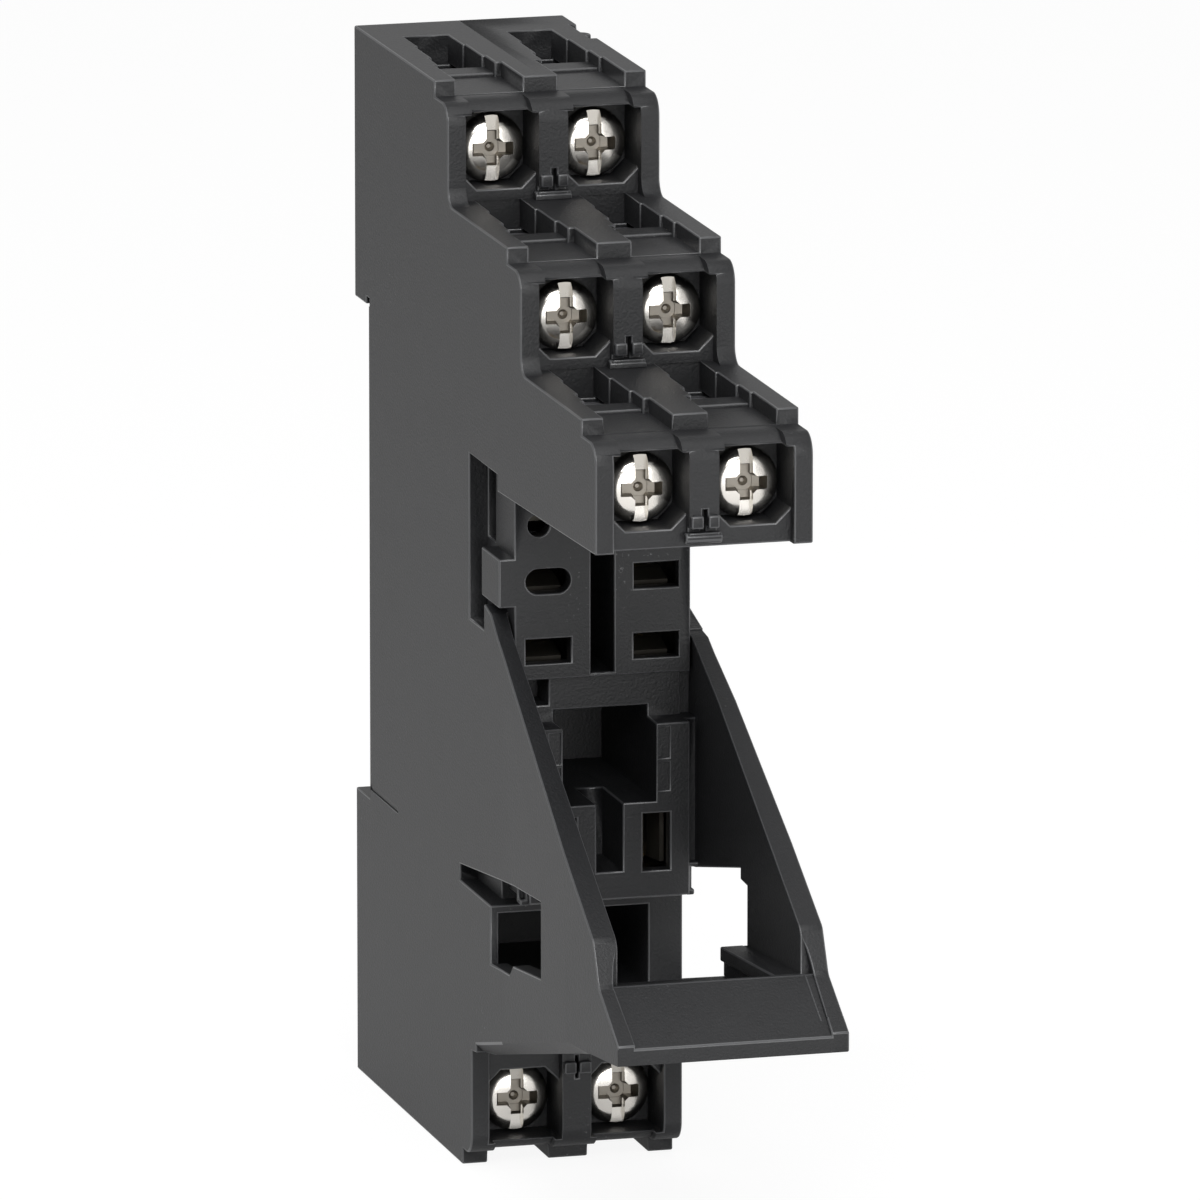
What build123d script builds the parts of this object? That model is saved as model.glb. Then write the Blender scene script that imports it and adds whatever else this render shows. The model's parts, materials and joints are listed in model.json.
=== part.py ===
from build123d import *
import math
import os

os.makedirs("parts", exist_ok=True)

# Socket for a slim plug-in relay, clipped to a 35 mm rail.
# Depth t is measured forward from the back plane and height z up from the feet.
# The frame's origin is the middle of the rail seat: X across, Y = SEAT - t, Z = z - RAIL_Z.

# Driving dimensions in millimetres
HALF_W = 7.7
WALL = 1.35
MID = 1.05
SEAT = 3.9
RAIL_Z = 39.75
RAIL = 35.0
HOOK = 0.55
NOTCH_GAP = 1.45
TOP = 76.35
STEP_T = 19.4
STEP_Z = 8.2
TIERS = 3
FACE_SET = 0.9
SHOULDER = 1.15
SCREW_DROP = 4.9
SHANK_R = 1.45
TRAVEL = 3.5
FOOT_SHIFT = 6.2
FOOT_AXIS = 4.53
BASE_FRONT = 38.5
BASE_HIGH = 13.65
PIN_PITCH = 5.0
POST_FRONT = 40.4
LOWER_FACE = 36.9
LEDGE = 20.45
FLARE = 0.45
LIP_FRONT = 72.0
SHEET = 0.8
LATCH_TRAVEL = 3.0

# Dimensions that follow from them
INNER = HALF_W - WALL
SCREW_X = (MID + INNER) / 2
FRONT = STEP_T + 6.3
RIB_END = STEP_T + 2.7
FACE = FRONT - FACE_SET
BULKHEAD = FRONT - 5.4
HEAD_BACK = FRONT - 4.3
HEAD_R = min((INNER - MID) / 2, STEP_Z / 2 - 1.3) - 0.15
CHAMBER = STEP_Z / 2 - 1.25
CAGE_HALF = (INNER - MID) / 2 - 0.35
STRIP_IN = SCREW_X - CAGE_HALF + 0.8
STRIP_OUT = SCREW_X + CAGE_HALF - 0.8
NOTCH_TOP = RAIL_Z + RAIL / 2 - HOOK + 0.05
NOTCH_LOW = RAIL_Z - RAIL / 2 - NOTCH_GAP
RIBS = [TOP - STEP_Z * k for k in range(TIERS)]
BASE_LOW = RIBS[-1] - 23.2
BASE_TOP = BASE_LOW + BASE_HIGH
PIN_LOW = BASE_LOW + 2.01
PIN_X = SCREW_X + 0.2
BLADE_X = SCREW_X - 0.32
POST_OUT = INNER - 0.55
CHEEK_IN = INNER + 0.15
CHEEK_OUT = HALF_W + FLARE


def post(z):
    """Height between the lower face and the relay's base, in proportion to their distance."""
    return LEDGE + (z - 20.45) * (BASE_LOW - LEDGE) / 16.3


def outline(points):
    """Side-plane face from (depth, height) corners; a third number rounds that corner."""
    flat = [(SEAT - p[0], p[1] - RAIL_Z, p[2] if len(p) > 2 else 0.0) for p in points]
    count = len(flat)
    corners = []
    for i in range(count):
        x, y, r = flat[i]
        if r <= 0:
            corners.append(((x, y), None, (x, y)))
            continue
        ax, ay = flat[i - 1][0] - x, flat[i - 1][1] - y
        bx, by = flat[(i + 1) % count][0] - x, flat[(i + 1) % count][1] - y
        la, lb = math.hypot(ax, ay), math.hypot(bx, by)
        ax, ay, bx, by = ax / la, ay / la, bx / lb, by / lb
        half = math.acos(max(-1.0, min(1.0, ax * bx + ay * by))) / 2
        back = r / math.tan(half)
        sx, sy = ax + bx, ay + by
        ls = math.hypot(sx, sy)
        reach = r / math.sin(half) - r
        corners.append(((x + ax * back, y + ay * back),
                        (x + sx / ls * reach, y + sy / ls * reach),
                        (x + bx * back, y + by * back)))
    edges = []
    for i in range(count):
        start, middle, end = corners[i]
        if middle is not None:
            edges.append(Edge.make_three_point_arc((*start, 0), (*middle, 0), (*end, 0)))
        onward = corners[(i + 1) % count][0]
        if math.dist(end, onward) > 1e-6:
            edges.append(Edge.make_line((*end, 0), (*onward, 0)))
    return Face(Wire(edges))


def slab(points, x0, x1):
    """Plate of a side outline between two planes across the body."""
    return extrude(Plane.YZ.offset(x0) * outline(points), amount=x1 - x0, dir=(1, 0, 0))


def block(x0, x1, t0, t1, z0, z1):
    """Rectangular block between two planes each way."""
    centre = ((x0 + x1) / 2, SEAT - (t0 + t1) / 2, (z0 + z1) / 2 - RAIL_Z)
    return Pos(*centre) * Box(x1 - x0, t1 - t0, z1 - z0)


def rod(x, z, r, t0, t1):
    """Cylinder that runs front to back."""
    return Pos(x, SEAT - (t0 + t1) / 2, z - RAIL_Z) * Rot(90, 0, 0) * Cylinder(r, t1 - t0)


def across(t, z, r, x0, x1):
    """Cylinder that runs across the body."""
    return Pos((x0 + x1) / 2, SEAT - t, z - RAIL_Z) * Rot(0, 90, 0) * Cylinder(r, x1 - x0)


def hole(x, z, r, t0, t1, sides=16):
    """Many-sided hole front to back whose flats stay clear of a round shank of radius r."""
    face = RegularPolygon(r / math.cos(math.pi / sides), sides)
    return Pos(x, SEAT - t0, z - RAIL_Z) * Rot(90, 0, 0) * extrude(face, t1 - t0)


def bar(t, z, r, x0, x1, sides=8):
    """Many-sided bar across the body."""
    turns = [2 * math.pi * (k + 0.5) / sides for k in range(sides)]
    return slab([(t + r * math.cos(a), z + r * math.sin(a)) for a in turns], x0, x1)


def plan(points, z0, z1):
    """Prism of an outline seen from above, given as (x, depth) corners."""
    flat = [(p[0], SEAT - p[1]) for p in points]
    face = make_face(Polyline(*flat, close=True))
    return extrude(Pos(0, 0, z0 - RAIL_Z) * face, amount=z1 - z0, dir=(0, 0, 1))


def front_view(points, t0, t1):
    """Prism of an outline seen from the front, given as (x, height) corners."""
    flat = [(p[0], SEAT - t1, p[1] - RAIL_Z) for p in points]
    face = Face(Wire([Edge.make_line(flat[i], flat[(i + 1) % len(flat)]) for i in range(len(flat))]))
    return extrude(face, amount=t1 - t0, dir=(0, 1, 0))


def join(*shapes):
    """All the shapes fused into one."""
    whole = shapes[0]
    return whole.fuse(*shapes[1:]) if len(shapes) > 1 else whole


def flip(shape):
    """The same shape on the other side of the body."""
    return mirror(shape, about=Plane.YZ)


def tidy(shape):
    """The single solid of a finished piece."""
    solids = shape.solids()
    return max(solids, key=lambda s: s.volume)


# Each terminal: name, shift forward, level of its rib, height of its screw, way its wire hole faces
TERMINALS = [("tier%d" % (k + 1), STEP_T * k, RIBS[k], RIBS[k] - SCREW_DROP, 1) for k in range(TIERS)]
TERMINALS.append(("coil", FOOT_SHIFT, 0.0, FOOT_AXIS, -1))
FOOT_FRONT = FRONT + FOOT_SHIFT - 0.16
FOOT_END = RIB_END + FOOT_SHIFT + 0.95


def stair(front, radius, foot_radius):
    """Corners of the three steps, from the lowest tier's foot up to the back of the top."""
    corners = []
    for k in reversed(range(TIERS)):
        dt = STEP_T * k
        if k == TIERS - 1:
            corners.append((front + dt, BASE_TOP + 0.8))
        else:
            corners.append((front + dt, RIBS[k + 1], foot_radius))
        corners.append((front + dt, RIBS[k] - SHOULDER, radius))
        corners.append((RIB_END + dt, RIBS[k] - SHOULDER))
        corners.append((RIB_END + dt, RIBS[k]))
    return corners


def rail_side():
    """Corners of the back, down from the top: upper hook, its relief, rail seat and lower step."""
    return [(0, TOP), (0, NOTCH_TOP), (SEAT - 0.8, NOTCH_TOP), (SEAT - 0.8, NOTCH_TOP + HOOK),
            (SEAT + 0.1, NOTCH_TOP + HOOK), (SEAT + 0.1, NOTCH_TOP), (SEAT, NOTCH_TOP), (SEAT, NOTCH_LOW),
            (0, NOTCH_LOW)]


def core_outline():
    """Side outline of the body between its outer walls."""
    face = FOOT_FRONT - FACE_SET
    points = [(0, 0), (FOOT_END, 0), (FOOT_END, SHOULDER), (face, SHOULDER, 1.4), (face, 8.8),
              (LOWER_FACE - 2.1, 9.2), (LOWER_FACE, 9.7), (LOWER_FACE, LEDGE), (35.0, LEDGE),
              (35.0, BASE_LOW), (BASE_FRONT, BASE_LOW), (BASE_FRONT, BASE_TOP)]
    return points + stair(FACE, 2.2, 0) + rail_side()


def wall_outline(right):
    """Side outline of an outer wall, open in front beside the relay's base."""
    points = [(0, 0), (FOOT_END, 0), (FOOT_END, SHOULDER), (FOOT_FRONT, SHOULDER, 1.5),
              (FOOT_FRONT, 8.8), (LOWER_FACE - 2.1, 9.2), (LOWER_FACE, 9.7)]
    if right:
        points += [(LOWER_FACE, BASE_LOW + 2.65), (31.3, BASE_LOW + 4.0)]
    else:
        points += [(LOWER_FACE, BASE_LOW + 4.6), (35.3, BASE_LOW + 4.95), (35.3, BASE_LOW + 3.1),
                   (31.3, BASE_LOW + 3.1)]
    points += [(31.3, BASE_TOP + 1.2), (38.9, BASE_TOP + 1.2), (38.9, BASE_TOP)]
    return points + stair(FRONT, 1.5, 1.2) + rail_side()


def cheek_outline(right):
    """Side outline of the cheek that guards the relay's lower end."""
    points = [(LOWER_FACE - 2.1, 9.2), (64.9, 16.5), (LIP_FRONT, 17.28), (LIP_FRONT, 18.65),
              (67.0, 21.6, 1.0), (65.5, 24.6, 1.0)]
    if right:
        points += [(45.0, BASE_LOW - 0.75), (38.4, BASE_LOW + 2.35)]
    else:
        points += [(38.9, BASE_LOW + 3.15), (37.0, BASE_LOW + 4.6)]
    return points + [(LOWER_FACE - 0.4, BASE_LOW + (2.6 if right else 4.65)), (LOWER_FACE - 0.4, 30.0),
                     (LOWER_FACE - 2.1, 28.0)]


PARTITION = [(10.2, 1.9), (FOOT_SHIFT + BULKHEAD, 1.9), (FOOT_SHIFT + BULKHEAD, 12.5), (20.9, 12.5), (20.9, 21.0),
             (32.5, 21.0), (32.5, post(27.2)), (25.4, post(27.2)), (25.4, BASE_LOW - 1.45),
             (29.8, BASE_LOW - 1.45), (29.8, BASE_TOP + 1.3), (2 * STEP_T + BULKHEAD, BASE_TOP + 1.3),
             (2 * STEP_T + BULKHEAD, RIBS[2] - 2.05), (STEP_T + BULKHEAD, RIBS[2] - 2.05),
             (STEP_T + BULKHEAD, RIBS[1] - 2.05), (BULKHEAD, RIBS[1] - 2.05), (BULKHEAD, RIBS[0] - 2.05),
             (5.5, RIBS[0] - 2.05), (5.5, 18.2), (10.2, 18.2)]
PEGS = [(2.8, (NOTCH_TOP + TOP) / 2, 0.9), (31.0, 11.4, 0.9)]
MODULE = (21.9, LOWER_FACE, 14.0, 19.85)
SHELF_BACK = 65.8
SHELF_TOP = 21.54
LIP_TOP = 18.4


def terminal_cuts(shift, rib, axis, up):
    """Hollows of one terminal: cage chamber, screw hole, head pocket, wire hole and trough."""
    inside = axis + up * (CHAMBER - 0.05)
    cuts = [block(0, INNER, shift + 5.5, shift + BULKHEAD, axis - CHAMBER, axis + CHAMBER),
            hole(SCREW_X, axis, SHANK_R + 0.15, shift + BULKHEAD - 0.1, shift + HEAD_BACK, 12),
            rod(SCREW_X, axis, HEAD_R + 0.12, shift + HEAD_BACK - 0.1, shift + HEAD_BACK + 2.1)]
    near = axis + up * (STEP_Z / 2 - 1.2 if up > 0 else STEP_Z / 2 - 1.5)
    far = axis - up * (STEP_Z / 2 - 1.6)
    pocket = [(MID, far + up * 1.05), (MID + 1.05, far), (INNER - 1.05, far), (INNER, far + up * 1.05),
              (INNER, near), (MID, near)]
    cuts.append(front_view(pocket, shift + HEAD_BACK - 0.1, shift + FRONT + 0.3))
    levels = [(HEAD_R - 0.88, 5.2, 9.2, inside), (HEAD_R - 0.7, 9.2, 13.5, inside),
              (HEAD_R - 0.7, 13.5, 13.7, rib - up * 0.85), (HEAD_R - 0.45, 13.7, 15.9, rib - up * 0.85),
              (HEAD_R - 0.45, 15.9, 16.3, rib - up * 1.1)]
    for half_width, start, end, floor in levels:
        z0, z1 = sorted((floor, rib))
        cuts.append(block(SCREW_X + 0.1 - half_width, SCREW_X + 0.1 + half_width, shift + start, shift + end, z0, z1))
    z0, z1 = sorted((rib - up * 1.1, rib))
    side = (MID + 0.23, HALF_W - 1.6) if up > 0 else (MID + 0.39, HALF_W - 1.85)
    cuts.append(block(side[0], side[1], shift + 16.3, shift + RIB_END + 2.0, z0, z1))
    return cuts


def inner_cuts():
    """Hollows behind the terminals for the contact strips and the plug-in blades."""
    cuts = [block(0, INNER, 1.4, 4.2, NOTCH_TOP + 1.75, RIBS[0] - 1.95),
            block(0, INNER, 5.3, STEP_T + 2.0, BASE_LOW + 0.15, RIBS[0] - 9.15),
            block(0, INNER, STEP_T + 3.4, 29.9, BASE_LOW + 0.15, BASE_TOP + 2.2),
            block(0, INNER, STEP_T + 3.4, 2 * STEP_T + 4.2, BASE_TOP + 2.2, RIBS[1] - 9.15),
            block(0, INNER, 10.6, 20.8, 8.7, BASE_LOW - 1.35),
            block(0, INNER, 22.2, 35.4, 10.6, 12.9),
            block(MID, INNER - 0.65, STEP_T + 1.9, STEP_T + 3.6, BASE_LOW + 1.25, BASE_LOW + 2.85),
            block(STRIP_IN - 0.1, STRIP_OUT + 0.1, 29.8, 2 * STEP_T + 13.8, BASE_TOP + 1.1, BASE_TOP + 2.3)]
    for shift, level in ((0.0, RIBS[0]), (STEP_T, RIBS[1])):
        cuts.append(block(STRIP_IN, STRIP_OUT, shift + 11.2, shift + 11.2 + SHEET, level - 9.25, level - 7.75))
    cuts.append(block(STRIP_IN, STRIP_OUT, 17.4, 17.4 + SHEET, 7.3, 8.8))
    for row in range(3):
        z = PIN_LOW + PIN_PITCH * row
        cuts.append(block(MID + 0.85, INNER - 0.6, 29.8, BASE_FRONT - 1.2, z - 1.75, z + 1.75))
    return cuts


def wall_end(front, rib, up, gap, reach):
    """Foot of a middle wall: two small noses with a slit between them and a rounded bar beyond."""
    far = rib - up * reach
    z0, z1 = sorted((far, far + up * 0.88))
    nose = block(gap, MID - 0.06, front - 0.6, front + 0.4, z0, z1)
    foot = bar(front - 0.32, far - up * 0.75, 0.42, 0, MID + 0.25)
    z0, z1 = sorted((far + up * 1.25, far - up * 0.35))
    slit = block(-0.1, gap, front - 0.9, front + 0.5, z0, z1)
    z0, z1 = sorted((far, far - up * 0.35))
    groove = block(-0.1, MID + 0.2, front - 0.55, front + 0.5, z0, z1)
    return [nose, foot], [slit, groove]


def hood_bevel():
    """Wedge that bevels the outer lower edge of a cheek and runs out towards the lip."""
    sections = []
    for t, x, size in ((33.0, HALF_W, 0.84), (40.0, HALF_W, 0.84), (59.5, CHEEK_OUT + 0.02, 0.84),
                       (64.4, CHEEK_OUT + 0.05, 0.05)):
        z = 9.2 + (t - LOWER_FACE + 2.1) * 7.3 / (67.0 - LOWER_FACE)
        corners = [(x - size, z - 0.4), (x + 0.6, z - 0.4), (x + 0.6, z + size), (x, z + size), (x - size, z)]
        points = [(a, SEAT - t, b - RAIL_Z) for a, b in corners]
        sections.append(Face(Wire([Edge.make_line(points[i], points[(i + 1) % 5]) for i in range(5)])))
    return [loft(sections[i:i + 2], ruled=True) for i in range(3)]


def shelf_relief():
    """Wedge that thins a cheek's inner face from the shelf's back edge out to the lip."""
    sections = []
    for t, foot, low, head, high in ((SHELF_BACK, 7.2, 21.4, CHEEK_IN, 24.6), (66.6, 7.15, SHELF_TOP, 6.6, 24.3),
                                     (LIP_FRONT + 0.1, 6.95, LIP_TOP - 0.058, 6.9, 19.2)):
        corners = [(CHEEK_IN - 0.1, low), (foot, low), (head, high), (CHEEK_IN - 0.1, high)]
        points = [(a, SEAT - t, b - RAIL_Z) for a, b in corners]
        sections.append(Face(Wire([Edge.make_line(points[i], points[(i + 1) % 4]) for i in range(4)])))
    return [loft(sections[i:i + 2], ruled=True) for i in range(2)]


def half(right):
    """One moulded half of the housing, drawn on the right-hand side."""
    body = join(slab(core_outline(), 0, INNER), slab(wall_outline(right), INNER, HALF_W))
    flare = plan([(CHEEK_IN, 30), (HALF_W, 30), (HALF_W, 40), (CHEEK_OUT, 58), (CHEEK_OUT + 0.05, LIP_FRONT + 1),
                  (CHEEK_IN, LIP_FRONT + 1)], 0, 60)
    cheek = slab(cheek_outline(right), CHEEK_IN, CHEEK_OUT + 0.3) & flare
    adds = [cheek]
    trims = []
    # Thicker caps of the tier walls, and the noses at the middle walls' ends
    for name, shift, rib, axis, up in TERMINALS[:TIERS]:
        cap = [(shift + FACE - 2, rib - SHOULDER), (shift + FRONT, rib - SHOULDER, 1.5),
               (shift + FRONT, rib - 4.0), (shift + FACE - 2, rib - 4.0)]
        level = block(0, INNER, shift + FACE - 2, shift + FRONT + 1, rib - 2.5, rib)
        adds.append(slab(cap, INNER - 0.5, INNER) & level)
        adds.append(slab(cap, 0, MID + 0.45) & level)
        middle = [(shift + FACE - 2, rib - SHOULDER), (shift + FRONT, rib - SHOULDER, 1.5),
                  (shift + FRONT, axis - 3.3), (shift + FACE - 2, axis - 3.3)]
        adds.append(slab(middle, 0, MID))
        more, less = wall_end(shift + FRONT, rib, 1, 0.22 if right else 0.12, 7.25)
        adds += more
        trims += less
    foot = [(FOOT_FRONT - 3, SHOULDER), (FOOT_FRONT, SHOULDER, 1.5), (FOOT_FRONT, 8.8), (FOOT_FRONT - 3, 8.8)]
    adds.append(slab(foot, 0, MID))
    level = block(0, INNER, FOOT_FRONT - 3, FOOT_FRONT + 1, 0, 2.7)
    adds.append(slab(foot, INNER - 0.5, INNER) & level)
    adds.append(slab(foot, 0, MID + 0.45) & level)
    more, less = wall_end(FOOT_FRONT, 0.0, -1, 0.1, 7.6)
    adds.append(more[0])
    trims.append(less[0])
    # Posts beside the relay's coil blades and the band above them
    adds.append(block(0.94, POST_OUT, 34.9, POST_FRONT, post(21.2), post(28.05)))
    adds.append(block(0, 0.95, 34.9, POST_FRONT, post(21.2), post(23.2)))
    adds.append(block(BLADE_X - 0.01, POST_OUT, 34.9, POST_FRONT, post(28.0), post(33.6)))
    adds.append(block(BLADE_X - 0.01, POST_OUT, 34.9, 37.9, post(33.5), post(34.8)))
    adds.append(block(0, POST_OUT if right else SCREW_X + 0.05, 34.9, 37.9, post(34.4), BASE_LOW + 0.1))
    adds.append(block(POST_OUT - 0.1, CHEEK_IN + 0.1, 38.9, 40.0, post(21.1), post(23.4)))
    adds.append(block(POST_OUT - 0.1, CHEEK_IN + 0.1, 34.9, 39.2, post(23.3), post(33.6)))
    if right:
        adds.append(block(POST_OUT - 0.1, CHEEK_IN + 0.1, 34.9, 37.5, post(33.5), BASE_LOW + 0.1))
        ledge = [(52.3, 19.3), (65.8, 20.3), (65.8, 21.4), (52.3, 20.3)]
        adds.append(slab(ledge, CHEEK_IN - 1.9, CHEEK_IN + 0.1))
        below = [(52.3, 18.2), (65.8, 18.2), (65.8, 20.4), (52.3, 19.4)]
        adds.append(slab(below, CHEEK_IN - 1.65, CHEEK_IN + 0.1))
    else:
        # Tab in the side recess, and the shelf with its lip
        adds.append(block(INNER - 0.1, HALF_W - 0.24, 33.8, BASE_FRONT, BASE_LOW + 5.25, BASE_LOW + 8.7))
        shelf = [(52.3, 17.0), (64.9, 16.5), (LIP_FRONT, 17.28), (LIP_FRONT, LIP_TOP), (66.6, SHELF_TOP),
                 (SHELF_BACK, 21.4), (SHELF_BACK, 18.2), (52.3, 18.2)]
        adds.append(slab(shelf, -CHEEK_IN, CHEEK_IN + 0.1))
        lip = [(70.6, 17.13), (LIP_FRONT, 17.28), (LIP_FRONT, LIP_TOP), (70.6, 19.214)]
        adds.append(slab(lip, -CHEEK_OUT - 0.05, CHEEK_OUT + 0.05))
        horn = [(70.6, 17.13), (LIP_FRONT, 17.28), (LIP_FRONT, 18.65), (70.6, 19.475)]
        adds.append(slab(horn, -CHEEK_OUT - 0.05, -CHEEK_IN))
    body = join(body, *adds)

    cuts = trims + hood_bevel() + shelf_relief()
    for name, shift, rib, axis, up in TERMINALS:
        cuts += terminal_cuts(shift, rib, axis, up)
    cuts += inner_cuts()
    cuts.append(slab(PARTITION, -0.5, MID))
    # Blade slots, the gap between them and the relay's middle cavities
    for row in range(3):
        z = PIN_LOW + PIN_PITCH * row
        half_slot = HEAD_R - 0.88
        if right or row == 0:
            cuts.append(block(PIN_X - half_slot, PIN_X + half_slot, 37.0, BASE_FRONT + 0.1, z - 0.89, z + 0.89))
        elif row == 1:
            cuts.append(block(PIN_X - 0.73, PIN_X + 0.73, 37.0, BASE_FRONT + 0.1, z - 0.89, z + 0.89))
            cuts.append(rod(PIN_X - 0.73, z, 0.89, 37.0, BASE_FRONT + 0.1))
            cuts.append(rod(PIN_X + 0.73, z, 0.89, 37.0, BASE_FRONT + 0.1))
        else:
            cuts.append(rod(PIN_X + 0.7, z - 1.0, 0.8, 37.0, BASE_FRONT + 0.1))
    cuts.append(block(-0.1, MID - 0.22, 30.5, BASE_FRONT + 0.1, BASE_LOW + 0.3, BASE_TOP - 0.4))
    cuts.append(block(-0.1, BLADE_X - 0.01, 26.0, POST_FRONT + 0.1, post(28.05), post(34.4)))
    cuts.append(block(MID + 0.95, POST_OUT - 0.4, 20.0, POST_FRONT - 1.2, post(22.4), post(27.5)))
    cuts.append(block(BLADE_X - 0.98, BLADE_X + 0.98, POST_FRONT - 1.3, POST_FRONT + 0.1, post(23.1), post(27.2)))
    cuts.append(block(POST_OUT + 0.14, CHEEK_IN - 0.14, 39.3, 40.1, post(21.5), post(23.1)))
    # Shallow moulded panels on the post
    for low, high in ((28.8, 30.8), (31.1, 33.3)):
        cuts.append(block(BLADE_X + 0.15, BLADE_X + 0.95, POST_FRONT - 0.15, POST_FRONT + 0.1, post(low), post(high)))
    # Socket for a plug-in module
    t0, t1, z0, z1 = MODULE
    cuts.append(block(-0.1, SCREW_X + 0.05 if right else HALF_W - 0.62, t0, t1 + 0.1, z0, z1))
    # Rail latch: channel, slot for its lug, pocket for its spring and relief behind its tip
    cuts.append(block(-0.1, 3.6, 0.55, 2.95, -0.1, NOTCH_LOW + 0.1))
    cuts.append(block(-0.1, 1.65, 2.9, SEAT + 0.3, NOTCH_LOW - 9.6, NOTCH_LOW - 4.5))
    cuts.append(block(-0.1, 2.4, SEAT + 0.2, SEAT + 5.1, 3.4, NOTCH_LOW - 3.6))
    cuts.append(block(-0.1, 3.6, SEAT - 0.1, SEAT + 0.35, NOTCH_LOW - 0.1, NOTCH_LOW + 2.8))
    # Deep slot in the side recess, and the shallow mould line behind the rail notch
    cuts.append(block(INNER - 0.6, HALF_W, 31.4, 33.5, BASE_LOW + 8.95, BASE_TOP + 0.6))
    mark = [(HALF_W - 0.12, 21.45), (HALF_W + 0.1, 21.45), (HALF_W + 0.1, 22.4)]
    cuts.append(front_view(mark, SEAT + 0.1, SEAT + 7.8))
    if right:
        window = [(31.2, 12.93), (52.4, 18.2), (52.4, 24.5), (50.7, 24.6), (50.7, 25.4), (40.3, 23.1), (31.2, 21.6)]
        cuts.append(slab(window, INNER - 0.1, CHEEK_OUT + 0.5))
        cuts.append(block(HALF_W - 0.5, HALF_W + 0.1, SEAT - 0.2, SEAT + 5.4, TOP - 0.5, TOP + 0.1))
        cuts.append(block(CHEEK_IN - 0.1, CHEEK_OUT + 0.5, 70.6, LIP_FRONT + 0.1, 16.0, 20.0))
    else:
        window = [(28.7, 21.6), (43.7, 23.35), (51.3, 24.0), (51.3, 18.6), (43.2, 17.6), (42.2, 16.75),
                  (36.9, 16.3), (36.9, LEDGE), (28.6, LEDGE)]
        cuts.append(slab(window, INNER, CHEEK_OUT + 0.5))
        cuts.append(flip(shelf_relief()[1]) & block(-8, -6, 70.6, LIP_FRONT + 0.1, 17, 25))
    # Locating pegs and their holes
    body = body.cut(*cuts)
    bosses = [bar(t, z, r + 0.9, 0, INNER + 0.1) for t, z, r in PEGS]
    body = join(body, *bosses)
    if right:
        bump = Pos(HALF_W - 0.75, SEAT - 7.5, TOP - 0.6 - RAIL_Z) * Cylinder(0.72, 1.2)
        body = join(body, bump)
        body = body.cut(*[bar(t, z, r, -0.1, 2.0, 12) for t, z, r in PEGS])
    else:
        body = join(body, *[bar(t, z, r, -1.9, 0.1, 12) for t, z, r in PEGS])
    return tidy(body)


def partition():
    """Insulating plate that parts the left circuits from the right ones."""
    return tidy(slab(PARTITION, -MID, MID))


def screw(shift, axis):
    """Captive clamp screw: conical head with a cross recess and a slot, shank and tip."""
    rear, front, tip = shift + HEAD_BACK, shift + HEAD_BACK + 1.75, shift + 12.05
    y = SEAT
    profile = make_face(Polyline((0, y - tip), (SHANK_R, y - tip), (SHANK_R, y - rear), (HEAD_R, y - rear),
                                 (HEAD_R - 0.8, y - front), (0, y - front), close=True))
    body = Pos(SCREW_X, 0, axis - RAIL_Z) * revolve(profile, Axis.Y)
    slot = block(SCREW_X - 0.47, SCREW_X + 0.47, front - 0.65, front + 0.2, axis - HEAD_R, axis + HEAD_R)
    bar = block(SCREW_X - 1.5, SCREW_X + 1.5, front - 1.0, front + 0.2, axis - 0.47, axis + 0.47)
    stem = block(SCREW_X - 0.47, SCREW_X + 0.47, front - 1.0, front + 0.2, axis - 1.5, axis + 1.5)
    return tidy(body.cut(slot, bar, stem))


def cage(shift, axis):
    """Sheet-metal clamp cage that the screw draws forward on to the wire."""
    c, n = CAGE_HALF, 0.5
    t0, t1 = shift + 5.9, shift + BULKHEAD - TRAVEL - 0.1
    tall = CHAMBER - 0.25
    outer = plan([(SCREW_X - c, t0 + n), (SCREW_X - c + n, t0), (SCREW_X + c - n, t0), (SCREW_X + c, t0 + n),
                  (SCREW_X + c, t1 - n), (SCREW_X + c - n, t1), (SCREW_X - c + n, t1), (SCREW_X - c, t1 - n)],
                 axis - tall, axis + tall)
    hollow = block(SCREW_X - c + 0.7, SCREW_X + c - 0.7, t0 + 0.8, t1 - 1.6, axis - tall - 0.1, axis + tall + 0.1)
    lips = [block(SCREW_X - c + 0.65, SCREW_X + c - 0.65, t0 + 0.7, t0 + 1.0, axis + z - 0.2, axis + z + 0.2)
            for z in (-1.2, 0.3)]
    body = outer.cut(hollow, hole(SCREW_X, axis, SHANK_R + 0.05, t1 - 1.7, t1 + 0.1))
    return tidy(join(body, *lips))


def bent(path):
    """Corners of a folded strip; a third number bevels the outside of that bend."""
    corners = []
    for i in range(len(path)):
        t, z = path[i][0], path[i][1]
        if len(path[i]) == 2:
            corners.append((t, z))
            continue
        size = path[i][2]
        for other in (path[i - 1], path[(i + 1) % len(path)]):
            reach = math.dist((t, z), other[:2])
            corners.append((t + (other[0] - t) * size / reach, z + (other[1] - z) * size / reach))
    return corners


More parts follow.
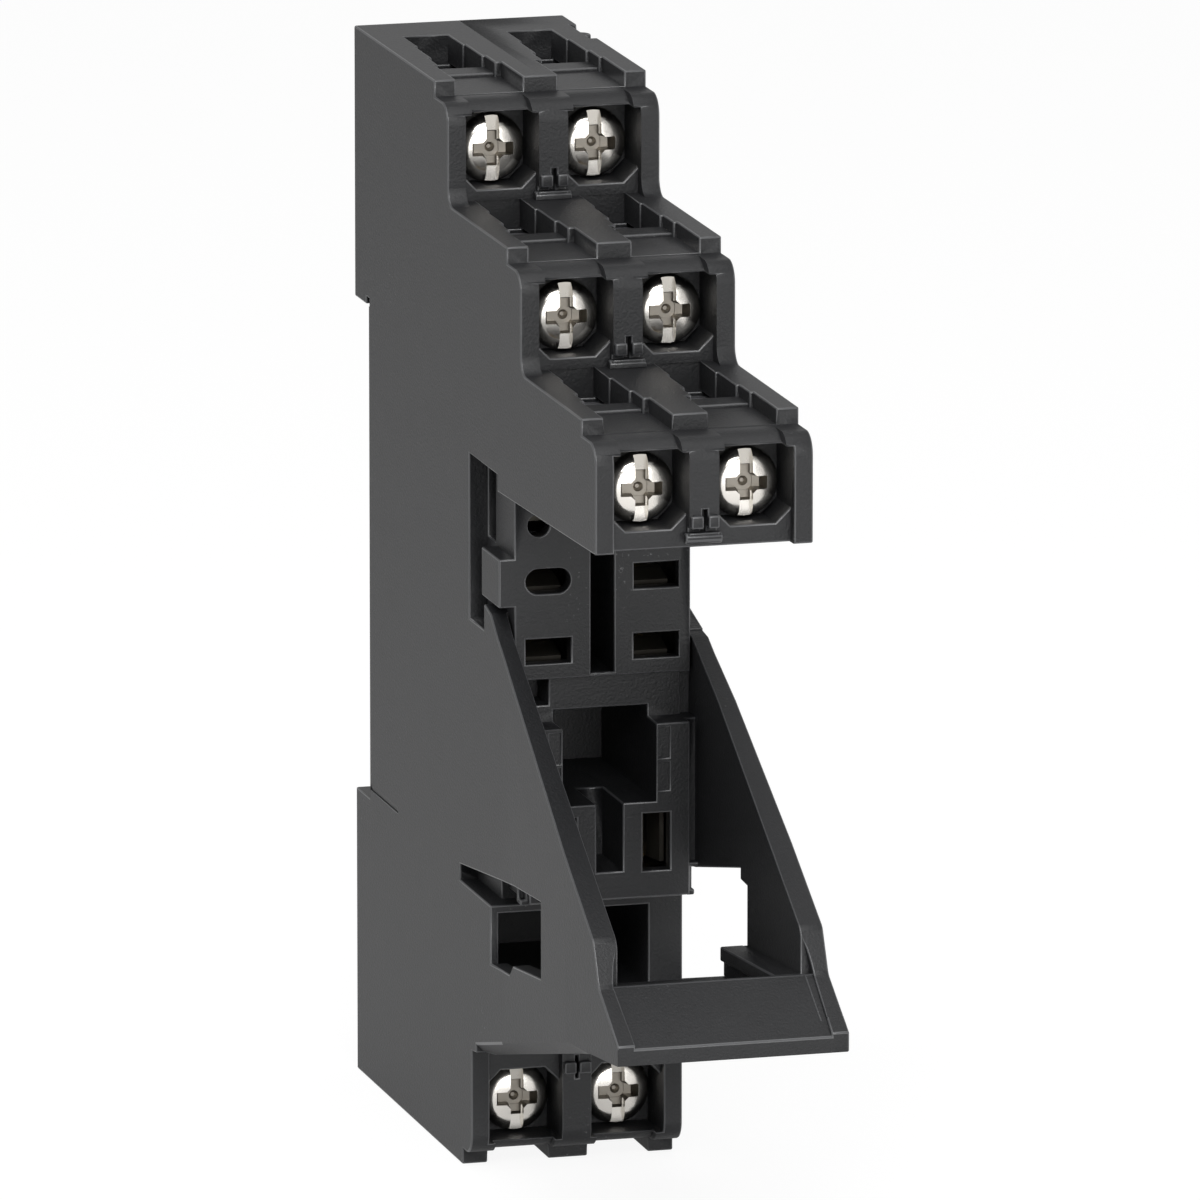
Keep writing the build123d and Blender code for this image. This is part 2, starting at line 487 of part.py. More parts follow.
def strip(name):
    """Folded brass strip from a terminal down to its blade contact."""
    s = SHEET
    rows = [PIN_LOW + PIN_PITCH * row - s / 2 for row in range(3)]
    if name == "tier1":
        t, z = 11.2, rows[0]
        path = [(t, RIBS[0] - 2.45), (t + s, RIBS[0] - 2.45), (t + s, z + s), (31.4, z + s), (31.4, z), (t, z, 0.7)]
    elif name == "tier2":
        t, z, b, jog = 11.2 + STEP_T, rows[1], STEP_T + 5.1, BASE_TOP + 3.2
        path = [(t, RIBS[1] - 2.45), (t + s, RIBS[1] - 2.45), (t + s, jog, 0.7), (b + s, jog), (b + s, z + s),
                (31.4, z + s), (31.4, z), (b, z, 0.7), (b, jog + s, 0.7), (t, jog + s)]
    elif name == "tier3":
        t, z, b, jog = 11.2 + 2 * STEP_T, rows[2], STEP_T + 7.5, BASE_TOP + 1.15
        path = [(t, RIBS[2] - 2.45), (t + s, RIBS[2] - 2.45), (t + s, jog, 0.7), (b + s, jog), (b + s, z + s),
                (31.4, z + s), (31.4, z), (b, z, 0.7), (b, jog + s, 0.7), (t, jog + s)]
    else:
        t, z = 11.2 + FOOT_SHIFT, post(22.6)
        path = [(t, 2.1), (t + s, 2.1), (t + s, z), (34.0, z), (34.0, z + s), (t, z + s, 0.7)]
    return tidy(slab(bent(path), STRIP_IN, STRIP_OUT))


def pin_contact(name):
    """Sprung fork that grips a relay blade behind its slot."""
    if name == "coil":
        x, low = BLADE_X, post(22.6) + SHEET
        leaf = [(x + 0.5, 29.0), (x + 0.5, 34.0), (x + 0.12, 37.2), (x + 0.6, 39.0), (x + 0.92, 38.9),
                (x + 0.5, 37.2), (x + 0.85, 34.0), (x + 0.85, 29.0)]
        other = [(2 * x - a, t) for a, t in leaf]
        base = block(x - 0.85, x + 0.85, 29.0, 34.0, low, low + 0.35)
        return tidy(join(base, plan(leaf, low, post(27.0)), plan(other, low, post(27.0))))
    z = PIN_LOW + PIN_PITCH * ("tier1", "tier2", "tier3").index(name)
    g = SHEET / 2
    leaf = [(28.9, z + g), (31.8, z + g), (35.0, z + 0.12), (37.0, z + 0.65), (36.9, z + 1.0), (35.0, z + 0.5),
            (31.8, z + g + 0.38), (28.9, z + g + 0.38)]
    other = [(t, 2 * z - a) for t, a in leaf]
    out = STRIP_OUT + 0.37
    wrap = [block(STRIP_OUT - 0.2, out, 28.9, 31.4, z + g, z + g + 0.38),
            block(STRIP_OUT - 0.2, out, 28.9, 31.4, z - g - 0.38, z - g),
            block(STRIP_OUT, out, 28.9, 31.4, z - g - 0.1, z + g + 0.1)]
    return tidy(join(slab(leaf, STRIP_IN + 0.4, STRIP_OUT - 0.1), slab(other, STRIP_IN + 0.4, STRIP_OUT - 0.1), *wrap))


def rail_latch():
    """Sliding catch that hooks behind the rail's lower flange."""
    tip = NOTCH_LOW + 2.45
    plate = [(0.65, 1.0), (2.85, 1.0), (2.85, tip), (2.3, tip), (0.65, tip - 2.05)]
    body = slab(plate, -3.5, 3.5)
    body = join(body, block(-1.55, 1.55, 2.7, SEAT + 4.5, NOTCH_LOW - 6.3, NOTCH_LOW - 4.9))
    return tidy(body.cut(block(-1.6, 1.6, 0.5, 3.0, 2.2, 3.6)))


def latch_spring():
    """Compression spring that presses the latch up."""
    wire, mean, low, high = 0.27, 1.35, 3.4, NOTCH_LOW - 6.3
    height = high - low - 2 * wire
    turns = 3
    centre = Pos(0, -2.6, low + wire - RAIL_Z)
    path = Helix(pitch=height / turns, height=height, radius=mean)
    start = path @ 0
    section = Plane(origin=start, z_dir=path % 0) * RegularPolygon(wire, 4)
    return tidy(centre * sweep(section, path=path))


pieces = {"housing_right": half(True), "housing_left": flip(half(False)), "centre_partition": partition()}
for name, shift, rib, axis, up in TERMINALS:
    made = {"terminal_screw": screw(shift, axis), "clamp_cage": cage(shift, axis), "contact_strip": strip(name),
            "blade_contact": pin_contact(name)}
    for kind, shape in made.items():
        pieces["%s_%s_right" % (kind, name)] = shape
        pieces["%s_%s_left" % (kind, name)] = flip(shape)
pieces["rail_latch"] = rail_latch()
pieces["latch_spring"] = latch_spring()

for node, shape in pieces.items():
    export_step(shape, "parts/%s.step" % node)
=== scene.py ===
import bpy
import bmesh
import json
import math
from collections import namedtuple
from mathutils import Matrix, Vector

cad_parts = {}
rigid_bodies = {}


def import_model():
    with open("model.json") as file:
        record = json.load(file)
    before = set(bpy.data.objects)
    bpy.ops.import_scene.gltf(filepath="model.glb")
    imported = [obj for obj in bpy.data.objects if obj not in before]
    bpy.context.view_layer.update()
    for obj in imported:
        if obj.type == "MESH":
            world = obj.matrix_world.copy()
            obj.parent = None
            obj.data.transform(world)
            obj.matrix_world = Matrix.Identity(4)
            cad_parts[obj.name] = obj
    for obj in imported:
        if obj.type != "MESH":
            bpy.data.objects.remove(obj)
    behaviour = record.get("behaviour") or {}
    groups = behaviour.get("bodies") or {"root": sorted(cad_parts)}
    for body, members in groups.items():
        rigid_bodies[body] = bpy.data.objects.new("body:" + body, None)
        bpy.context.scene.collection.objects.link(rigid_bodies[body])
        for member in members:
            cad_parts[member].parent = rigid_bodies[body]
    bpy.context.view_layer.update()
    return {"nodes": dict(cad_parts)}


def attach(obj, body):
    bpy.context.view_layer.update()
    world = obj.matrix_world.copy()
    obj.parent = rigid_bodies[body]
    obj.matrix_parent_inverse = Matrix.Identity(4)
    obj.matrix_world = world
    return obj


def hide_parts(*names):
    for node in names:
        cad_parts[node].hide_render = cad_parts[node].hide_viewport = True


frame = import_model()
nodes = frame["nodes"]

# The pieces' sizes are in mm, and MM turns them into metres
MM = 0.001
# Depth of the rail seat from the back plane, and height of the rail's middle above the feet
SEAT = 3.9
RAIL_Z = 39.75


def at(x, t, z):
    """A point x across, t in front of the back plane and z above the feet, in mm."""
    return Vector((x * MM, (SEAT - t) * MM, (z - RAIL_Z) * MM))


# Materials
# Scales of the noise in the plastic: its grain, its clouds, its worn specks and the patches they gather in
GRAIN_SCALE, CLOUD_SCALE, SPECK_SCALE, PATCH_SCALE = 5200, 420, 3600, 95
GRAIN_DEPTH = 0.00006
# Where in the noise the specks and the patches begin and are full
SPECK_RANGE = (0.66, 0.76)
PATCH_RANGE = (0.58, 0.72)
WORN_COLOUR = (0.30, 0.30, 0.31, 1)
# Scale of the clouds in the metal's sheen, and the shares of its roughness that they run between
SHEEN_SCALE = 900
SHEEN_SHARES = (0.75, 1.3)


def new_material(name):
    mat = bpy.data.materials.new(name)
    mat.use_nodes = True
    tree = mat.node_tree
    return mat, tree, tree.nodes["Principled BSDF"]


def add(tree, kind, **values):
    node = tree.nodes.new(kind)
    for key, value in values.items():
        setattr(node, key, value)
    return node


def noise(tree, place, scale, detail=2):
    """Noise that stays with the object."""
    node = add(tree, "ShaderNodeTexNoise")
    node.inputs["Scale"].default_value = scale
    node.inputs["Detail"].default_value = detail
    tree.links.new(place.outputs["Object"], node.inputs["Vector"])
    return node.outputs["Fac"]


def ramp(tree, value, which, low, high):
    """A value mapped "From" or "To" the range low to high, the other range being 0 to 1."""
    node = add(tree, "ShaderNodeMapRange")
    node.inputs[which + " Min"].default_value = low
    node.inputs[which + " Max"].default_value = high
    tree.links.new(value, node.inputs["Value"])
    return node.outputs["Result"]


def combine(tree, operation, one, two):
    """A value combined with another value or with a number."""
    node = add(tree, "ShaderNodeMath", operation=operation)
    tree.links.new(one, node.inputs[0])
    if isinstance(two, (int, float)):
        node.inputs[1].default_value = two
    else:
        tree.links.new(two, node.inputs[1])
    return node.outputs["Value"]


def plastic(name, colour, rough, grain=0.25, mottle=0.10, wear=0.0, shine=0.38):
    """Moulded plastic with a fine spark-eroded grain and, where wanted, faint specks of wear."""
    mat, tree, bsdf = new_material(name)
    bsdf.inputs["Roughness"].default_value = rough
    bsdf.inputs["Specular IOR Level"].default_value = shine
    place = add(tree, "ShaderNodeTexCoord")
    mix = add(tree, "ShaderNodeMix", data_type="RGBA")
    mix.inputs["A"].default_value = tuple(c * (1 - mottle) for c in colour) + (1,)
    mix.inputs["B"].default_value = tuple(c * (1 + mottle) for c in colour) + (1,)
    tree.links.new(noise(tree, place, CLOUD_SCALE, 4), mix.inputs["Factor"])
    result = mix.outputs["Result"]
    if wear > 0:
        specks = ramp(tree, noise(tree, place, SPECK_SCALE), "From", *SPECK_RANGE)
        patches = ramp(tree, noise(tree, place, PATCH_SCALE), "From", *PATCH_RANGE)
        worn = combine(tree, "MULTIPLY", combine(tree, "MULTIPLY", specks, patches), wear)
        pale = add(tree, "ShaderNodeMix", data_type="RGBA")
        pale.inputs["B"].default_value = WORN_COLOUR
        tree.links.new(worn, pale.inputs["Factor"])
        tree.links.new(result, pale.inputs["A"])
        result = pale.outputs["Result"]
    tree.links.new(result, bsdf.inputs["Base Color"])
    bump = add(tree, "ShaderNodeBump")
    bump.inputs["Strength"].default_value = grain
    bump.inputs["Distance"].default_value = GRAIN_DEPTH
    tree.links.new(noise(tree, place, GRAIN_SCALE, 3), bump.inputs["Height"])
    tree.links.new(bump.outputs["Normal"], bsdf.inputs["Normal"])
    return mat


def metal(name, colour, rough):
    """Plated metal with slight variation in its sheen."""
    mat, tree, bsdf = new_material(name)
    bsdf.inputs["Base Color"].default_value = colour + (1,)
    bsdf.inputs["Metallic"].default_value = 1
    place = add(tree, "ShaderNodeTexCoord")
    low, high = SHEEN_SHARES
    sheen = ramp(tree, noise(tree, place, SHEEN_SCALE, 4), "To", rough * low, rough * high)
    tree.links.new(sheen, bsdf.inputs["Roughness"])
    return mat


housing_mat = plastic("housing_plastic", (0.0088, 0.0091, 0.0102), 0.5,
                      grain=0.6, mottle=0.2, wear=0.35, shine=0.42)
# Paler, glossier plastic for the housing's rounded edges: a painted highlight along every edge
painted_highlight_edge_mat = plastic("housing_edges_painted_highlight", (0.052, 0.053, 0.056), 0.34, grain=0.2, shine=0.7)
inner_mat = plastic("insulating_plastic", (0.018, 0.018, 0.018), 0.5)
latch_mat = plastic("latch_plastic", (0.022, 0.022, 0.023), 0.45)
nickel = metal("nickel_plated_steel", (0.78, 0.75, 0.70), 0.2)
# Darker nickel for the screws' recess and for the upper arm of their slot: painted shade
painted_shade_nickel = metal("nickel_painted_shade_in_recess", (0.25, 0.23, 0.20), 0.36)
painted_shade_slot_mat = metal("nickel_painted_shade_in_slot", (0.42, 0.40, 0.365), 0.3)
zinc = metal("zinc_plated_steel", (0.34, 0.34, 0.36), 0.42)
# Brass darkened well below its own colour to stand in for the shade in the slots: painted shade
shade_darkened_brass = metal("brass_strip", (0.20, 0.15, 0.07), 0.45)
tinned = metal("tinned_bronze", (0.15, 0.14, 0.12), 0.45)
steel = metal("spring_steel", (0.55, 0.55, 0.56), 0.3)

FINISH = [("housing", housing_mat), ("centre_partition", inner_mat), ("terminal_screw", nickel),
          ("clamp_cage", zinc), ("contact_strip", shade_darkened_brass), ("blade_contact", tinned),
          ("rail_latch", latch_mat), ("latch_spring", steel)]
for name, obj in nodes.items():
    for start, mat in FINISH:
        if name.startswith(start):
            obj.data.materials.clear()
            obj.data.materials.append(mat)


# Pieces with their edges rounded, the housing's rounded faces in a paler plastic as a painted highlight
# Points closer than SAME_POINT, in metres, are merged, and faces that differ by less than SAME_FACE
SAME_POINT = 1e-6
SAME_FACE = math.radians(0.6)
# An edge is rounded if it turns by more than SHARP and lies farther than ON_SEAM, in metres, from each seam
SHARP = math.radians(35)
ON_SEAM = 1e-5
# Two rounded edges that meet at more than NEARLY_STRAIGHT share one radius. A plain edge that carries a
# rounded one on, at more than STRAIGHT, doesn't limit it
NEARLY_STRAIGHT = math.radians(150)
STRAIGHT = math.radians(172)
# The share of the room at a corner or across a gap that a radius may take, with two radii there or one
CORNER_BOTH, CORNER_ONE = 0.45, 0.8
GAP_BOTH, GAP_ONE = 0.36, 0.6
# Gaps wider than NEAR radii don't count, nor do edges whose rounding grows along a gap and not into it:
# FACING is the least cosine between the two
NEAR = 2.2
FACING = 0.3
# An edge with less than this share of the radius stays sharp, and shares closer than EVEN are the same
LEAST_SHARE = 0.25
EVEN = 1e-4

# A side of a face: its edge, its first corner, its way along and its way into the face
Side = namedtuple("Side", "line corner along inward")


def narrow(room, lines, limit):
    """Lower the room of some edges to a limit."""
    for line in lines:
        room[line] = min(room[line], limit)


def meet(room, level, side, last, width):
    """Limit two neighbouring sides of a face at their corner, or note them down to share one radius."""
    both = [one.line for one in (side, last) if one.line in room]
    between = side.along.angle(-last.along)
    convex = side.inward.dot(last.along) < 0
    if len(both) == 2 and between > NEARLY_STRAIGHT:
        level.append(both)
    elif len(both) == 2 and convex:
        reach = CORNER_BOTH * min(side.along.length, last.along.length) * math.tan(between / 2)
        narrow(room, both, reach / width)
    elif len(both) == 1 and convex and between < STRAIGHT:
        free = last if side.line in room else side
        narrow(room, both, CORNER_ONE * free.along.length * math.sin(between) / width)


def keep_apart(room, sides, side, last, width):
    """Limit the edges on both sides of each narrow gap between a corner of a face and its other sides."""
    vert = side.corner
    for other in sides:
        if vert in other.line.verts:
            continue
        start = other.corner.co
        share = max(0.0, min(1.0, (vert.co - start).dot(other.along) / other.along.length_squared))
        gap = vert.co - (start + other.along * share)
        if gap.length > NEAR * width:
            continue
        out = gap.normalized()
        hit = [one.line for one in (side, last) if one.line in room and one.inward.dot(out) < -FACING]
        if other.line in room and other.inward.dot(out) > FACING:
            hit.append(other.line)
        most = GAP_BOTH if other.line in hit and len(hit) > 1 else GAP_ONE
        narrow(room, hit, most * gap.length / width)


def weigh_edges(bm, width, seams):
    """Give each sharp outer edge as much of the radius as its surroundings leave room for."""
    weight = bm.edges.layers.float.new("bevel_weight_edge")
    room = {}
    for line in bm.edges:
        if len(line.link_faces) != 2 or line.calc_face_angle(0) < SHARP:
            continue
        in_seam = any(all(abs(vert.co[axis] - place) < ON_SEAM for vert in line.verts)
                      for axis, place in seams)
        if line.is_convex and not in_seam:
            room[line] = 1.0
        else:
            line.smooth = False
    level = []
    for face in bm.faces:
        sides = []
        for loop in face.loops:
            along = loop.link_loop_next.vert.co - loop.vert.co
            sides.append(Side(loop.edge, loop.vert, along, face.normal.cross(along).normalized()))
        for index, side in enumerate(sides):
            meet(room, level, side, sides[index - 1], width)
            keep_apart(room, sides, side, sides[index - 1], width)
    uneven = True
    while uneven:
        uneven = False
        for one, two in level:
            if abs(room[one] - room[two]) > EVEN:
                narrow(room, (one, two), min(room[one], room[two]))
                uneven = True
    for line, share in room.items():
        line[weight] = share if share > LEAST_SHARE else 0.0
        if share <= LEAST_SHARE:
            line.smooth = False


def rounded(node, width, segments, mat, body, edge=None, seams=()):
    """A copy of a CAD node whose sharp outer edges carry a small radius, the rounded faces taking the
    material edge, if given, as a painted highlight.
    """
    mesh = nodes[node].data.copy()
    bm = bmesh.new()
    bm.from_mesh(mesh)
    bmesh.ops.remove_doubles(bm, verts=bm.verts, dist=SAME_POINT)
    bmesh.ops.dissolve_limit(bm, angle_limit=SAME_FACE, verts=bm.verts, edges=bm.edges,
                             use_dissolve_boundaries=False)
    weigh_edges(bm, width * MM, seams)
    bm.to_mesh(mesh)
    bm.free()
    mesh.materials.clear()
    mesh.materials.append(mat)
    if edge:
        mesh.materials.append(edge)
    obj = bpy.data.objects.new(node + "_rounded", mesh)
    bpy.context.collection.objects.link(obj)
    for face in mesh.polygons:
        face.use_smooth = True
    bevel = obj.modifiers.new("edge", "BEVEL")
    bevel.width = width * MM
    bevel.segments = segments
    bevel.limit_method = "WEIGHT"
    bevel.use_clamp_overlap = False
    # Where a second material is given, the rounded faces take it as a painted highlight
    bevel.material = 1 if edge else -1
    bevel.harden_normals = False
    weigh = obj.modifiers.new("normals", "WEIGHTED_NORMAL")
    weigh.mode = "FACE_AREA"
    weigh.weight = 100
    weigh.keep_sharp = True
    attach(obj, body)
    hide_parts(node)


# Radii of the mouldings' and clamps' edges, and of the thinner strips' edges
EDGE_R = 0.12
STRIP_EDGE_R = 0.06
# Planes where the halves meet, as an axis and a place: the seam, the lip's back and the shelf's right end
SEAM = (0, 0.0)
LIP_END = (1, (SEAT - 70.6) * MM)
SHELF_END = (0, 6.5 * MM)
for node, seams in (("housing_right", (SEAM, LIP_END)), ("housing_left", (SEAM, LIP_END, SHELF_END))):
    rounded(node, EDGE_R, 2, housing_mat, "housing", painted_highlight_edge_mat, seams=seams)
rounded("rail_latch", EDGE_R, 2, latch_mat, "latch")

# Each pair of terminals: its name, how far it stands in front of the first pair, and its screws' height
TERMINALS = [("tier1", 0.0, 71.45), ("tier2", 19.4, 63.25), ("tier3", 38.8, 55.05), ("coil", 6.2, 4.53)]
for name, shift, axis in TERMINALS:
    for side in ("right", "left"):
        rounded("clamp_cage_%s_%s" % (name, side), EDGE_R, 2, zinc,
                "cage_%s_%s" % (name, side))
        rounded("contact_strip_%s_%s" % (name, side), STRIP_EDGE_R, 1, shade_darkened_brass, "housing")


# Clamp screws with a combined recess and a rolled thread
# Place of a screw across, and depth of the first pair's heads from the back plane
SCREW_X = 3.7
HEAD_FRONT = 23.15
HEAD_R = 2.5
SHANK_R = 1.45
# The head's flat middle ends and its dome begins at this radius and depth, and the dome drops by DOME_DROP
DOME_R, DOME_TOP, DOME_DROP = 1.50, 0.10, 1.12
DOME_FROM, DOME_STEPS = 12, 8
HEAD_BACK, BACK_BEVEL = 1.75, 0.07
HEAD_SIDES = 72
# The plain neck runs into the thread
NECK_END = 2.4
THREAD_START, THREAD_END = 2.3, 11.1
THREAD_PITCH, THREAD_DEPTH = 0.5, 0.27
THREAD_ROWS, THREAD_SIDES = 6, 20
# Over this length at its end the thread runs out, down to a share of its depth, and the tip is bevelled
RUN_OUT, RUN_OUT_SHARE, TIP_BEVEL = 0.6, 0.3, 0.35
# Faces within RECESS_R and between its depths take the recess's darker nickel, and those above it in the slot
# take the slot's mid-dark nickel: both are painted shade
RECESS_R = 1.5
RECESS_DEPTHS = (0.2, 1.6)
SLOT_HALF = 0.475
SLOT_DEPTHS = (0.3, 0.63)
# Edges of the screw that turn by more than this look sharp
CREASE = math.radians(28)


def mesh_piece(name, verts, faces, mat):
    mesh = bpy.data.meshes.new(name)
    mesh.from_pydata(verts, [], faces)
    mesh.update()
    mesh.materials.append(mat)
    obj = bpy.data.objects.new(name, mesh)
    bpy.context.collection.objects.link(obj)
    return obj


def turn_outwards(mesh, *joined):
    """Turn a mesh's faces outwards, with any other meshes joined to it."""
    bm = bmesh.new()
    for one in (mesh,) + joined:
        bm.from_mesh(one)
    bmesh.ops.recalc_face_normals(bm, faces=bm.faces)
    bm.to_mesh(mesh)
    bm.free()


def turned(rings, count):
    """Closed surface of revolution about Y from (radius, y) rings, first and last on the axis."""
    verts = [(0, rings[0][1] * MM, 0)]
    for r, y in rings[1:-1]:
        for k in range(count):
            a = 2 * math.pi * k / count
            verts.append((r * math.cos(a) * MM, y * MM, r * math.sin(a) * MM))
    verts.append((0, rings[-1][1] * MM, 0))
    faces = []
    rows = len(rings) - 2
    for k in range(count):
        n = (k + 1) % count
        faces.append((0, 1 + k, 1 + n))
        for row in range(rows - 1):
            a = 1 + row * count
            faces.append((a + k, a + count + k, a + count + n, a + n))
        a = 1 + (rows - 1) * count
        faces.append((a + k, len(verts) - 1, a + n))
    return verts, faces


def frustum(corners_top, corners_low, top, low):
    """Closed block between two outlines at two depths along Y, given in (x, z)."""
    count = len(corners_top)
    verts = [(x * MM, top * MM, z * MM) for x, z in corners_top]
    verts += [(x * MM, low * MM, z * MM) for x, z in corners_low]
    faces = [tuple(range(count)), tuple(reversed(range(count, 2 * count)))]
    for k in range(count):
        n = (k + 1) % count
        faces.append((k, count + k, count + n, n))
    return verts, faces


def rect(hx, hz):
    """Corners of a rectangle from its half width and half height."""
    return [(-hx, -hz), (hx, -hz), (hx, hz), (-hx, hz)]


def circle(r, count):
    turns = [2 * math.pi * k / count for k in range(count)]
    return [(r * math.cos(a), r * math.sin(a)) for a in turns]


def octagon(size, cut):
    """Corners of a square of half width size with its corners cut off."""
    a, b = size, size - cut
    return [(-b, -a), (b, -a), (a, -b), (a, b), (b, a), (-b, a), (-a, b), (-a, -b)]


def head_mesh():
    """The screw's head and neck, with the recess cut by a tapered cross, a slot and a drilled cone."""
    head = [(0, 0.0), (0.6, 0.01), (1.2, 0.05), (1.5, 0.10)]
    for k in range(DOME_STEPS + 1):
        a = math.radians(DOME_FROM + (90 - DOME_FROM) * k / DOME_STEPS)
        head.append((DOME_R + (HEAD_R - DOME_R) * math.sin(a), DOME_TOP + DOME_DROP * (1 - math.cos(a))))
    head += [(HEAD_R, HEAD_BACK - BACK_BEVEL), (HEAD_R - BACK_BEVEL, HEAD_BACK), (SHANK_R, HEAD_BACK),
             (SHANK_R, NECK_END), (0, NECK_END)]
    verts, faces = turned(head, HEAD_SIDES)
    obj = mesh_piece("screw_head", verts, faces, nickel)
    # The middle of the cross, the slot, the cross's two arms and the drilled cone
    cutters = [frustum(octagon(0.86, 0.42), octagon(0.62, 0.30), -0.3, 1.05),
               frustum(rect(0.47, 3.0), rect(0.47, 3.0), -0.5, 0.62),
               frustum(rect(1.55, 0.475), rect(1.15, 0.41), -0.1, 0.98),
               frustum(rect(0.445, 1.54), rect(0.40, 1.14), -0.15, 1.0),
               frustum(circle(0.62, 24), circle(0.14, 24), 0.7, 1.32)]
    for index, (verts, faces) in enumerate(cutters):
        cutter = mesh_piece("cutter", verts, faces, nickel)
        turn_outwards(cutter.data)
        cut = obj.modifiers.new("cut%d" % index, "BOOLEAN")
        cut.operation = "DIFFERENCE"
        cut.solver = "EXACT"
        cut.object = cutter
    turn_outwards(obj.data)
    depsgraph = bpy.context.evaluated_depsgraph_get()
    done = bpy.data.meshes.new_from_object(obj.evaluated_get(depsgraph))
    for other in [o for o in bpy.data.objects if o.name.startswith("cutter")] + [obj]:
        bpy.data.objects.remove(other)
    return done


def thread_mesh():
    """The shank with its rolled thread, closed at both ends."""
    rows = int((THREAD_END - THREAD_START) / THREAD_PITCH * THREAD_ROWS)
    verts, faces = [], []
    for row in range(rows + 1):
        y = THREAD_START + (THREAD_END - THREAD_START) * row / rows
        fade = min(1.0, (THREAD_END - y) / RUN_OUT + RUN_OUT_SHARE)
        for k in range(THREAD_SIDES):
            a = 2 * math.pi * k / THREAD_SIDES
            phase = (y / THREAD_PITCH + k / THREAD_SIDES) % 1.0
            depth = THREAD_DEPTH * abs(2 * phase - 1) * fade
            r = SHANK_R - depth if row < rows else SHANK_R - TIP_BEVEL
            verts.append((r * math.cos(a) * MM, y * MM, r * math.sin(a) * MM))
    for row in range(rows):
        low, high = row * THREAD_SIDES, (row + 1) * THREAD_SIDES
        for k in range(THREAD_SIDES):
            n = (k + 1) % THREAD_SIDES
            faces.append((low + k, high + k, high + n, low + n))
    faces.append(tuple(range(THREAD_SIDES)))
    faces.append(tuple(reversed(range(rows * THREAD_SIDES, (rows + 1) * THREAD_SIDES))))
    thread = bpy.data.meshes.new("thread")
    thread.from_pydata(verts, [], faces)
    return thread


def screw_mesh():
    """The screw at the origin, its head's front at y = 0 and its shank towards +Y."""
    done = head_mesh()
    turn_outwards(done, thread_mesh())
    done.materials.clear()
    for mat in (nickel, painted_shade_nickel, painted_shade_slot_mat):
        done.materials.append(mat)
    for face in done.polygons:
        face.use_smooth = True
        reach = math.hypot(face.center.x, face.center.z) / MM
        deep = face.center.y / MM
        in_shaded_upper_slot = face.center.z > 0 and abs(face.center.x) < SLOT_HALF * MM
        face.material_index = 0
        # The recess and the slot's upper arm take darker nickel as painted shade
        if reach < RECESS_R and RECESS_DEPTHS[0] < deep < RECESS_DEPTHS[1]:
            face.material_index = 1
        elif reach >= RECESS_R and in_shaded_upper_slot and SLOT_DEPTHS[0] < deep < SLOT_DEPTHS[1]:
            face.material_index = 2
    done.set_sharp_from_angle(angle=CREASE)
    return done


screw_data = screw_mesh()
for name, shift, axis in TERMINALS:
    for side, sign in (("right", 1), ("left", -1)):
        node = "terminal_screw_%s_%s" % (name, side)
        obj = bpy.data.objects.new(node + "_detail", screw_data.copy())
        bpy.context.collection.objects.link(obj)
        obj.location = at(sign * SCREW_X, shift + HEAD_FRONT, axis)
        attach(obj, "screw_%s_%s" % (name, side))
        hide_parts(node)


# Floor, a pale surface that keeps the shadow and also shows white to the camera, dimmer in reflections
FLOOR_COLOUR, FLOOR_ROUGH = (0.9, 0.9, 0.9, 1), 0.9
FLOOR_WHITE, FLOOR_WHITE_SHARE, FLOOR_REFLECTED = 1.06, 0.86, 0.42
FLOOR_SIZE = 6
# Just below the feet, so that the two surfaces don't fight where both are seen from below
FLOOR_Z = -(RAIL_Z + 0.02) * MM
floor_mat, tree, bsdf = new_material("floor")
bsdf.inputs["Base Color"].default_value = FLOOR_COLOUR
bsdf.inputs["Roughness"].default_value = FLOOR_ROUGH
path = add(tree, "ShaderNodeLightPath")
white = add(tree, "ShaderNodeEmission")
white.inputs["Color"].default_value = (1, 1, 1, 1)
white.inputs["Strength"].default_value = FLOOR_WHITE
blend = add(tree, "ShaderNodeMixShader")
sheen = combine(tree, "MULTIPLY", path.outputs["Is Glossy Ray"], FLOOR_REFLECTED)
mirrored = combine(tree, "MAXIMUM", path.outputs["Is Camera Ray"], sheen)
tree.links.new(combine(tree, "MULTIPLY", mirrored, FLOOR_WHITE_SHARE), blend.inputs["Fac"])
tree.links.new(bsdf.outputs["BSDF"], blend.inputs[1])
tree.links.new(white.outputs["Emission"], blend.inputs[2])
tree.links.new(blend.outputs["Shader"], tree.nodes["Material Output"].inputs["Surface"])
bpy.ops.mesh.primitive_plane_add(size=FLOOR_SIZE, location=(0, 0, FLOOR_Z))
floor = bpy.context.object
floor.name = "floor"
floor.data.materials.append(floor_mat)

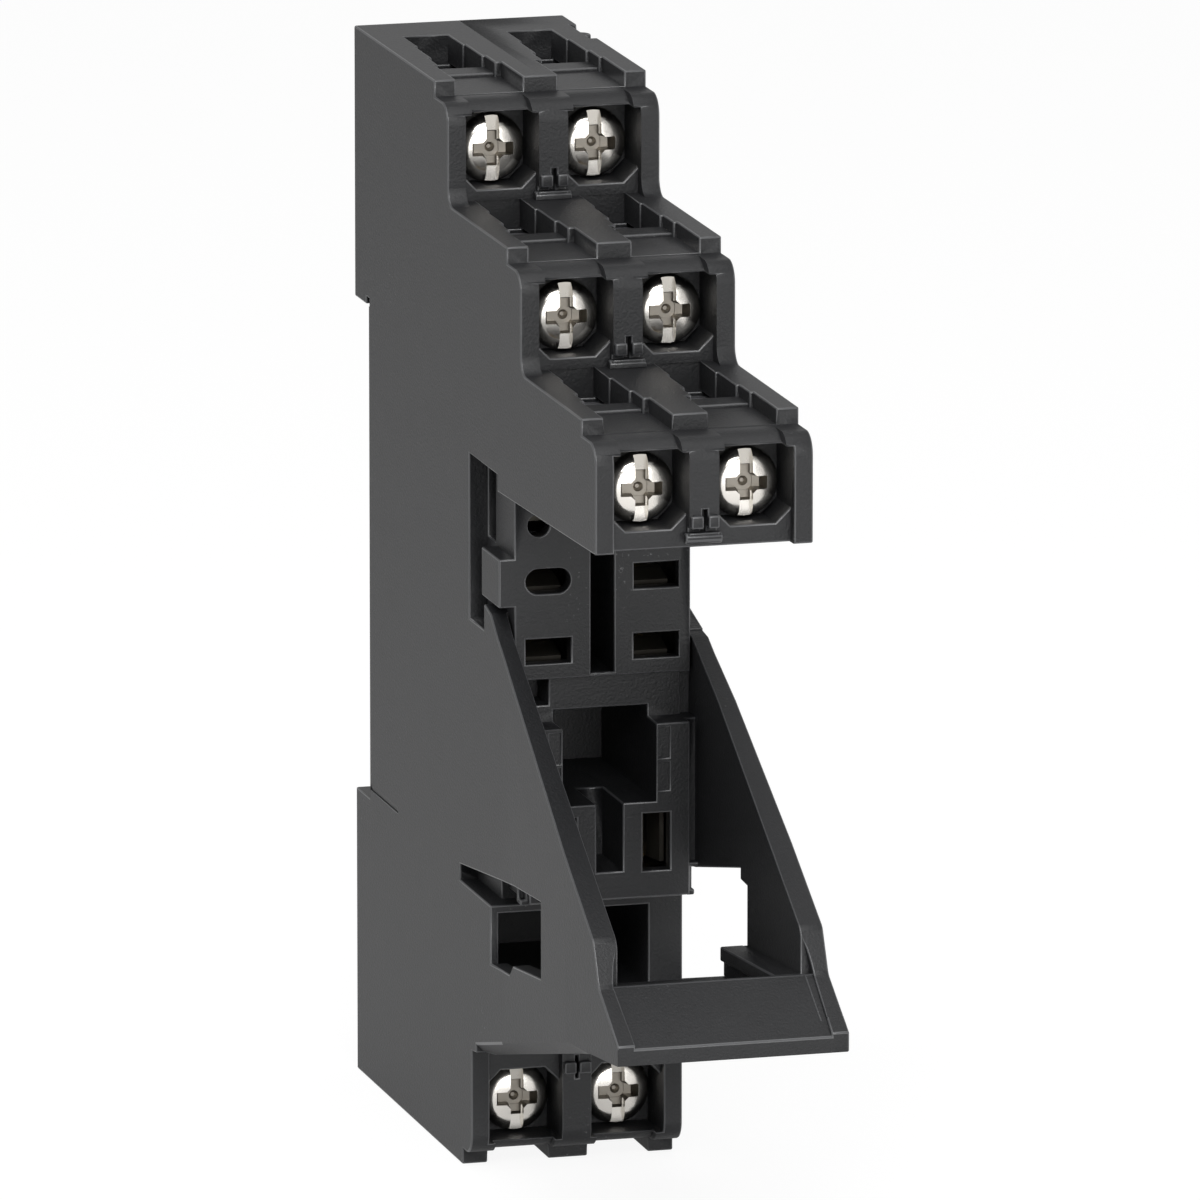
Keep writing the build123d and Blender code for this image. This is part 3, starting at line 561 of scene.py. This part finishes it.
# World: white to the camera, dimmer in reflections and through glass, and faint as light
WORLD_REFLECTED, WORLD_LIGHT = 0.36, 0.13
world = bpy.data.worlds.new("studio")
bpy.context.scene.world = world
world.use_nodes = True
tree = world.node_tree
back = tree.nodes["Background"]
back.inputs["Color"].default_value = (1, 1, 1, 1)
path = add(tree, "ShaderNodeLightPath")
shown = combine(tree, "MAXIMUM", path.outputs["Is Glossy Ray"], path.outputs["Is Transmission Ray"])
seen = combine(tree, "MULTIPLY", shown, WORLD_REFLECTED)
either = combine(tree, "MAXIMUM", path.outputs["Is Camera Ray"], seen)
tree.links.new(ramp(tree, either, "To", WORLD_LIGHT, 1.0), back.inputs["Strength"])

# Lamps: name, place in metres, width and height in metres, and power
LAMPS = [("key", (-0.16, -0.62, 0.48), (0.35, 0.35), 3.2),
         ("front", (0.04, -0.75, 0.03), (0.4, 0.3), 1.75),
         ("fill", (0.55, -0.40, 0.15), (0.4, 0.4), 1.0),
         ("rear", (0.14, 0.60, 0.30), (0.3, 0.25), 0.16),
         ("top", (0.0, -0.12, 0.62), (0.6, 0.4), 1.6),
         ("rim", (-0.70, -0.04, 0.36), (0.3, 0.5), 1.6)]
LAMP_AIM = Vector((0, -0.03, 0))
for name, place, size, power in LAMPS:
    data = bpy.data.lights.new(name, "AREA")
    data.shape = "RECTANGLE"
    data.size, data.size_y = size
    data.energy = power
    obj = bpy.data.objects.new(name, data)
    obj.location = place
    obj.rotation_euler = (LAMP_AIM - Vector(place)).to_track_quat("-Z", "Y").to_euler()
    bpy.context.collection.objects.link(obj)

# Camera, fitted to the straight edges in the photo: angles in degrees, focal length in the photo's
# pixels, place in metres
AZIMUTH, ELEVATION, FOCAL = 15.443, 12.349, 17204
CAMERA_PLACE = (-0.31138, -1.16107, 0.25831)
PHOTO_WIDTH, SENSOR = 1200, 36
camera_data = bpy.data.cameras.new("camera")
camera_data.sensor_width = SENSOR
camera_data.lens = FOCAL / PHOTO_WIDTH * SENSOR
camera_data.clip_start, camera_data.clip_end = 0.05, 20
camera = bpy.data.objects.new("camera", camera_data)
camera.location = CAMERA_PLACE
camera.rotation_euler = (math.radians(90 - ELEVATION), 0, math.radians(-AZIMUTH))
bpy.context.collection.objects.link(camera)
bpy.context.scene.camera = camera

bpy.context.scene.view_settings.view_transform = "Standard"
